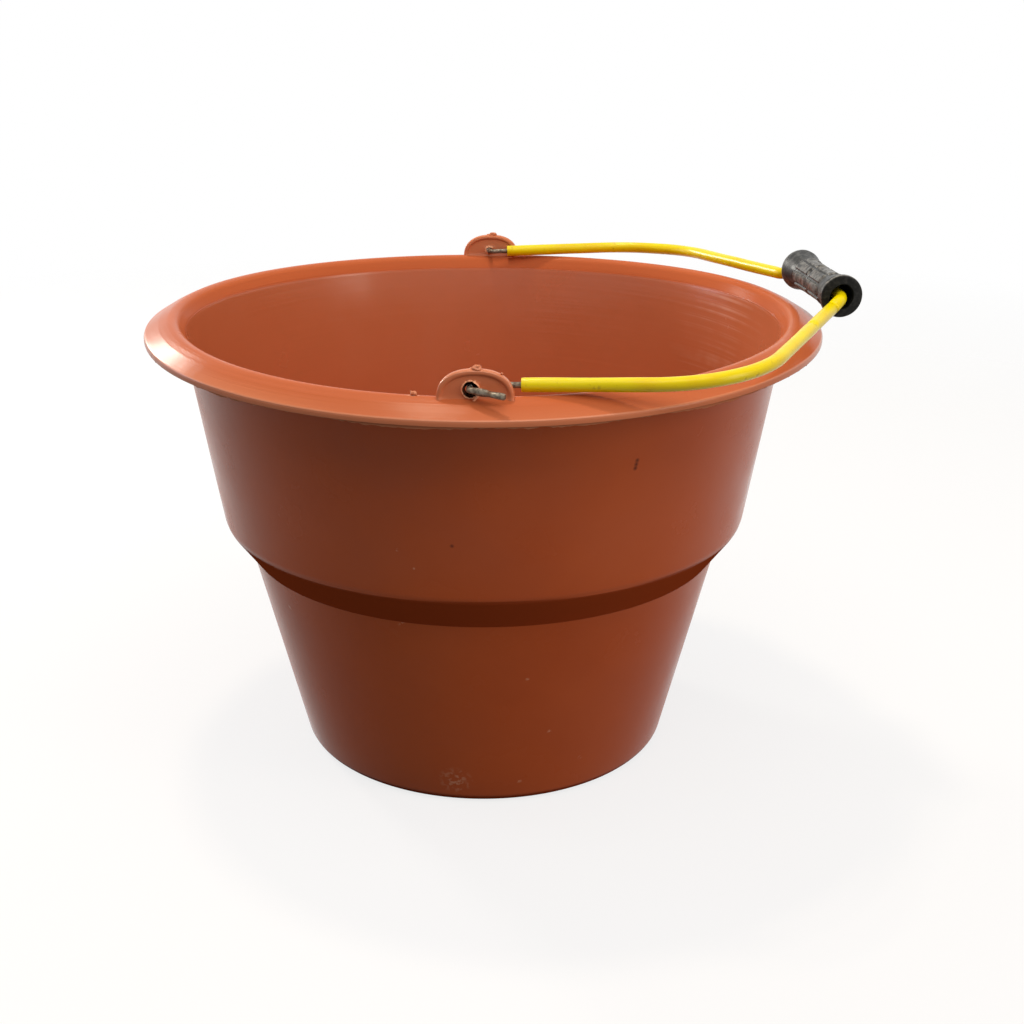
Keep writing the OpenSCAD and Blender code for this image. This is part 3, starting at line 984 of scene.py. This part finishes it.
def ramp(tree, value, *stops):
    """Maps a value through (position, grey) stops."""
    node = add_node(tree, "ValToRGB", {"Fac": value})
    elements = node.color_ramp.elements
    while len(elements) < len(stops):
        elements.new(0.5)
    for element, (position, grey) in zip(elements, stops):
        element.position = position
        element.color = (grey, grey, grey, 1)
    return node.outputs["Color"]


def grain(tree, vector, scale, detail):
    """A noise of the given scale, from 0 to 1."""
    return add_node(tree, "TexNoise", {"Vector": vector, "Scale": scale, "Detail": detail}).outputs["Fac"]


def mottle(tree, vector, scale, detail, *stops):
    """A noise of the given scale, mapped through (position, grey) stops."""
    return ramp(tree, grain(tree, vector, scale, detail), *stops)


def product(tree, value, *factors):
    """A value times each factor, which is an output or a number."""
    for factor in factors:
        value = add_node(tree, "Math", {0: value, 1: factor}, operation="MULTIPLY").outputs["Value"]
    return value


def bump(tree, height, depth_mm, strength, under=None):
    """Bumps of the given depth, laid over the bumps under them."""
    inputs = {"Height": height, "Strength": strength, "Distance": depth_mm * MM}
    if under:
        inputs["Normal"] = under
    return add_node(tree, "Bump", inputs).outputs["Normal"]


def round_about(tree, place):
    """Coordinates of radius and height alone, for marks that run round the Z axis."""
    flat = add_node(tree, "VectorMath", {0: place, 1: (1, 1, 0)}, operation="MULTIPLY").outputs["Vector"]
    radius = add_node(tree, "VectorMath", {0: flat}, operation="LENGTH").outputs["Value"]
    height = add_node(tree, "SeparateXYZ", {"Vector": place}).outputs["Z"]
    return add_node(tree, "CombineXYZ", {"X": radius, "Y": height}).outputs["Vector"]


def spot(tree, place, centre_mm, reach_mm):
    """A mask that is 1 at a point and fades to 0 at its reach, both in millimetres."""
    centre = [c * MM for c in centre_mm]
    away = add_node(tree, "VectorMath", {0: place, 1: centre}, operation="DISTANCE").outputs["Value"]
    fade = {"Value": away, "From Max": reach_mm * MM, "To Min": 1, "To Max": 0}
    return add_node(tree, "MapRange", fade).outputs["Result"]


def moulded_polypropylene():
    """Brick-red polypropylene, injection moulded: glossy, with the turning marks of the mould in it."""
    found = bpy.data.materials.get("moulded_polypropylene")
    if found:
        return found
    material, tree, shader, place = new_material("moulded_polypropylene")
    torn_and_painted_light, painted_shade_below, painted_light_up_and_in, polish, grime_and_painted_shade = marks(tree, PLASTIC_MARKS)
    about = round_about(tree, place)

    cloud = mottle(tree, place, 11.0, 4.0, (0.35, 0), (0.7, 1))
    base = blend(tree, cloud, chosen("tub"), "#b5542b")
    specks = add_node(tree, "TexVoronoi", {"Vector": place, "Scale": 30.0}).outputs["Distance"]
    base = blend(tree, ramp(tree, specks, (0.0, 1), (0.022, 0)), base, "#d9a184")
    scratches = mottle(tree, place, 420.0, 6.0, (0.5, 0), (0.62, 1))
    for centre, reach, strength in SCUFFS:
        mask = product(tree, spot(tree, place, centre, reach), scratches, strength)
        base = blend(tree, mask, base, "#dba183")
    for centre, reach, strength in STAINS:
        base = blend(tree, product(tree, spot(tree, place, centre, reach), strength), base, "#2c120b")
    # Painted light: a lighter orange on upward faces and inner walls
    base = blend(tree, painted_light_up_and_in, base, "#c06c46")
    # Painted reflection: pale streaks on the inner wall towards the right
    lines = mottle(tree, about, 420.0, 4.0, (0.48, 0), (0.66, 0.55))
    faded = mottle(tree, place, 35.0, 4.0, (0.4, 0.1), (0.62, 1))
    inside = ramp(tree, painted_light_up_and_in, (0.7, 0), (0.95, 1))
    painted_reflection = product(tree, lines, faded, spot(tree, place, *PAINTED_REFLECTION), inside)
    base = blend(tree, painted_reflection, base, "#eebfa6")
    # Painted shade: darker colour on faces that look down
    base = blend(tree, painted_shade_below, base, "#9a4321")
    # Paler where torn, and painted light on the thin ears, the burr, the flap and the lip's face
    base = blend(tree, torn_and_painted_light, base, "#ffbf96")
    # Grime and painted shade: the front hole's wall is made nearly black
    base = blend(tree, grime_and_painted_shade, base, "#22100a")

    turned = ramp(tree, painted_light_up_and_in, (0.1, 0.1), (0.5, 1), (0.65, 1), (0.95, 0.4))
    patches = product(tree, mottle(tree, place, 16.0, 3.0, (0.4, 0.15), (0.65, 1)), turned)
    relief = bump(tree, product(tree, grain(tree, about, 520.0, 3.0), patches), 0.3, 0.7)
    relief = bump(tree, product(tree, grain(tree, about, 210.0, 1.0), turned), 0.2, 0.4, relief)
    relief = bump(tree, grain(tree, place, 55.0, 2.0), 0.35, 0.25, relief)
    rough = mottle(tree, place, 30.0, 5.0, (0.35, 0.17), (0.7, 0.3))
    looks = {"Base Color": base, "Normal": relief, "Roughness": rough}
    set_inputs(tree, shader, {**looks, "IOR": 1.49, "Specular IOR Level": polish})
    return material


def drawn_steel_wire():
    """Drawn mild steel: dull grey and finely pitted, with dark grime and patches of brown rust."""
    material, tree, shader, place = new_material("drawn_steel_wire")
    grime = grain(tree, place, 650.0, 6.0)
    base = blend(tree, ramp(tree, grime, (0.38, 0), (0.62, 1)), chosen("wire"), "#4e463c")
    rust = mottle(tree, place, 230.0, 4.0, (0.55, 0), (0.68, 0.8))
    base = blend(tree, rust, base, "#5b3d26")
    rough = ramp(tree, grime, (0.3, 0.35), (0.7, 0.6))
    looks = {"Base Color": base, "Normal": bump(tree, grime, 0.2, 0.6), "Roughness": rough}
    set_inputs(tree, shader, {**looks, "Metallic": 0.35, "Specular IOR Level": 0.3})
    return material


def soft_vinyl_tube():
    """Yellow soft PVC tube, extruded: very glossy, faintly wavy, with a little grime."""
    material, tree, shader, place = new_material("soft_vinyl_tube")
    cloud = grain(tree, place, 55.0, 4.0)
    base = blend(tree, ramp(tree, cloud, (0.4, 0), (0.75, 1)), chosen("sleeve"), "#e8c800")
    grime = grain(tree, place, 300.0, 6.0)
    base = blend(tree, ramp(tree, grime, (0.62, 0), (0.75, 0.5)), base, "#a68c18")
    relief = bump(tree, grime, 0.03, 0.3, bump(tree, cloud, 0.3, 0.25))
    looks = {"Base Color": base, "Normal": relief, "Roughness": 0.24}
    set_inputs(tree, shader, {**looks, "IOR": 1.53, "Specular IOR Level": 0.2})
    return material


def black_rubber():
    """Moulded black rubber: mottled by dust, rubbed pale on its edges, dull where it was cut, and darkened in
    the bore as painted shade.
    """
    material, tree, shader, place = new_material("black_rubber")
    cut, rubbed = marks(tree, GRIP_MARKS)
    dust = grain(tree, place, 520.0, 7.0)
    worn = grain(tree, place, 110.0, 5.0)
    base = blend(tree, ramp(tree, dust, (0.45, 0), (0.68, 0.6)), chosen("grip"), "#5c5e5d")
    pale = product(tree, rubbed, ramp(tree, dust, (0.35, 0), (0.6, 0.6)))
    base = blend(tree, pale, base, "#a9a7a0")
    # Darker black on the cut end faces, and painted shade in the bore
    base = blend(tree, cut, base, "#0c0e0d")
    rough = blend(tree, cut, ramp(tree, worn, (0.38, 0.28), (0.62, 0.55)), (0.75, 0.75, 0.75, 1))
    relief = bump(tree, dust, 0.2, 0.7, bump(tree, worn, 0.5, 0.6))
    shine = ramp(tree, cut, (0, 0.3), (1, 0.06))
    looks = {"Base Color": base, "Normal": relief, "Roughness": rough}
    set_inputs(tree, shader, {**looks, "IOR": 1.52, "Specular IOR Level": shine})
    return material


def seen_rays(tree):
    """1 for the rays that show the background: from the camera, off gloss and through glass."""
    rays = add_node(tree, "LightPath").outputs
    seen = rays["Is Camera Ray"]
    for kind in ("Is Glossy Ray", "Is Transmission Ray"):
        seen = add_node(tree, "Math", {0: seen, 1: rays[kind]}, operation="MAXIMUM").outputs["Value"]
    return seen


def pale_ground():
    """Pale studio ground: white where it is lit, it keeps the shadow and fades into the backdrop."""
    material, tree, shader, place = new_material("pale_ground")
    looks = {"Base Color": linear("#707070"), "Roughness": 0.9, "Specular IOR Level": 0.1}
    set_inputs(tree, shader, looks)
    glow = add_node(tree, "Emission", {"Strength": product(tree, seen_rays(tree), 0.8)})
    lit = add_node(tree, "AddShader", {0: shader.outputs["BSDF"], 1: glow.outputs["Emission"]})
    clear = add_node(tree, "BsdfTransparent")
    reach = ramp(tree, spot(tree, place, (0, 0, 0), GROUND_REACH / MM), (0.05, 0), (0.5, 1))
    layers = {"Fac": reach, 1: clear.outputs["BSDF"], 2: lit.outputs["Shader"]}
    mix = add_node(tree, "MixShader", layers)
    set_inputs(tree, tree.nodes["Material Output"], {"Surface": mix.outputs["Shader"]})
    return material


# Stage

# Radius of the ground, in metres
GROUND_REACH = 1.4

# Greys of the backdrop: as it lights the piece, and as it is seen
BACKDROP_LIGHT = (0.2, 0.2, 0.2, 1)
BACKDROP_SEEN = (1, 1, 1, 1)

# Name, place, target, width and height, power in watts and tint of each light
MIDDLE = (0, 0, 0.15)
LIGHTS = (
    ("key_light", (-0.28, 0.32, 2.02), MIDDLE, (0.2, 0.2), 15.5, "#ffedd2"),
    ("ceiling_light", (0, 0.2, 1.9), MIDDLE, (1.8, 1.8), 6, "#ffffff"),
    ("front_light", (0.15, -0.75, 1.6), MIDDLE, (1.6, 1.0), 13, "#fff4e8"),
    ("right_light", (1.2, -0.6, 0.5), (0.1, 0, 0.12), (0.4, 1.0), 6, "#ffe9d6"),
    ("left_light", (-1.2, 0.4, 0.45), (-0.1, 0, 0.12), (0.4, 0.6), 2, "#efe6ff"),
    ("window_light", (-0.9, 0.9, 0.64), (-0.145, -0.07, 0.215), (0.2, 0.42), 8, "#fffaf0"),
)

# The camera, worked out from the photograph: lengths of the picture in pixels, the rest in metres
SENSOR_MM = 36
PICTURE_PIXELS = 1024
FOCAL_PIXELS = 1513.59
CENTRE_PIXEL = 499.915
CAMERA_PLACE = Vector((0.02226, -0.7378, 0.39029))
CAMERA_AIM = Vector((-0.0179, 0.93747, -0.34761))
CAMERA_RIGHT = Vector((0.9998, 0.01987, 0.00211))


def look_at(place, target):
    """The turn that points -Z from place to target with +Y up."""
    return (target - place).to_track_quat("-Z", "Y").to_matrix().to_4x4()


def soft_light(name, place, target, size, power, tint):
    """A rectangular soft light that faces its target."""
    data = bpy.data.lights.new(name, "AREA")
    data.shape = "RECTANGLE"
    data.size, data.size_y = size
    data.energy = power
    data.color = linear(tint)[:3]
    lamp = bpy.data.objects.new(name, data)
    lamp.matrix_world = Matrix.Translation(place) @ look_at(Vector(place), Vector(target))
    bpy.context.scene.collection.objects.link(lamp)


class BUCKET_OT_stage(bpy.types.Operator):
    """Lay the pale ground, light it softly and set the camera where the photograph was taken"""

    bl_idname = "bucket.make_stage"
    bl_label = "Make Stage"

    def execute(self, context):
        scene = context.scene
        bm = bmesh.new()
        bmesh.ops.create_circle(bm, cap_ends=True, segments=96, radius=GROUND_REACH)
        mesh = bpy.data.meshes.new("ground")
        bm.to_mesh(mesh)
        bm.free()
        mesh.materials.append(pale_ground())
        ground = bpy.data.objects.new("ground", mesh)
        scene.collection.objects.link(ground)

        world = bpy.data.worlds.new("studio")
        world.use_nodes = True
        scene.world = world
        tree = world.node_tree
        tone = blend(tree, seen_rays(tree), BACKDROP_LIGHT, BACKDROP_SEEN)
        tree.links.new(tone, tree.nodes["Background"].inputs["Color"])

        for light in LIGHTS:
            soft_light(*light)
        self.set_camera(scene)
        scene.view_settings.view_transform = "Standard"
        return {"FINISHED"}

    def set_camera(self, scene):
        """Sets the camera to the place, direction and lens worked out from the photograph."""
        data = bpy.data.cameras.new("camera")
        data.sensor_width = SENSOR_MM
        data.lens = SENSOR_MM * FOCAL_PIXELS / PICTURE_PIXELS
        data.shift_x = (PICTURE_PIXELS / 2 - CENTRE_PIXEL) / PICTURE_PIXELS
        camera = bpy.data.objects.new("camera", data)
        back = -CAMERA_AIM.normalized()
        up = back.cross(CAMERA_RIGHT).normalized()
        turn = Matrix((up.cross(back), up, back)).transposed().to_4x4()
        camera.matrix_world = Matrix.Translation(CAMERA_PLACE) @ turn
        scene.collection.objects.link(camera)
        scene.camera = camera


# Panel and registration


class BUCKET_PT_panel(bpy.types.Panel):
    """Lists the bucket's operators"""

    bl_idname = "BUCKET_PT_panel"
    bl_label = "Builder's Bucket"
    bl_space_type = "VIEW_3D"
    bl_region_type = "UI"
    bl_category = "Bucket"

    def draw(self, context):
        for operator in OPERATORS:
            self.layout.operator(operator.bl_idname)


GROUPS = {"tub_sizes": TubSizes, "bail_sizes": BailSizes, "grip_sizes": GripSizes, "finishes": Finishes}
OPERATORS = (BUCKET_OT_tub, BUCKET_OT_ears, BUCKET_OT_wire, BUCKET_OT_sleeve, BUCKET_OT_grip, BUCKET_OT_stage)
CLASSES = (*GROUPS.values(), *OPERATORS, BUCKET_PT_panel)


def register():
    for cls in CLASSES:
        bpy.utils.register_class(cls)
    for name, group in GROUPS.items():
        setattr(bpy.types.Scene, name, PointerProperty(type=group))


def unregister():
    for name in GROUPS:
        delattr(bpy.types.Scene, name)
    for cls in reversed(CLASSES):
        bpy.utils.unregister_class(cls)


def main():
    register()
    bpy.ops.bucket.make_tub()
    bpy.ops.bucket.make_ears()
    bpy.ops.bucket.make_wire()
    bpy.ops.bucket.make_sleeve()
    bpy.ops.bucket.make_grip()
    bpy.ops.bucket.make_stage()
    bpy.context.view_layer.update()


if __name__ == "__main__":
    main()
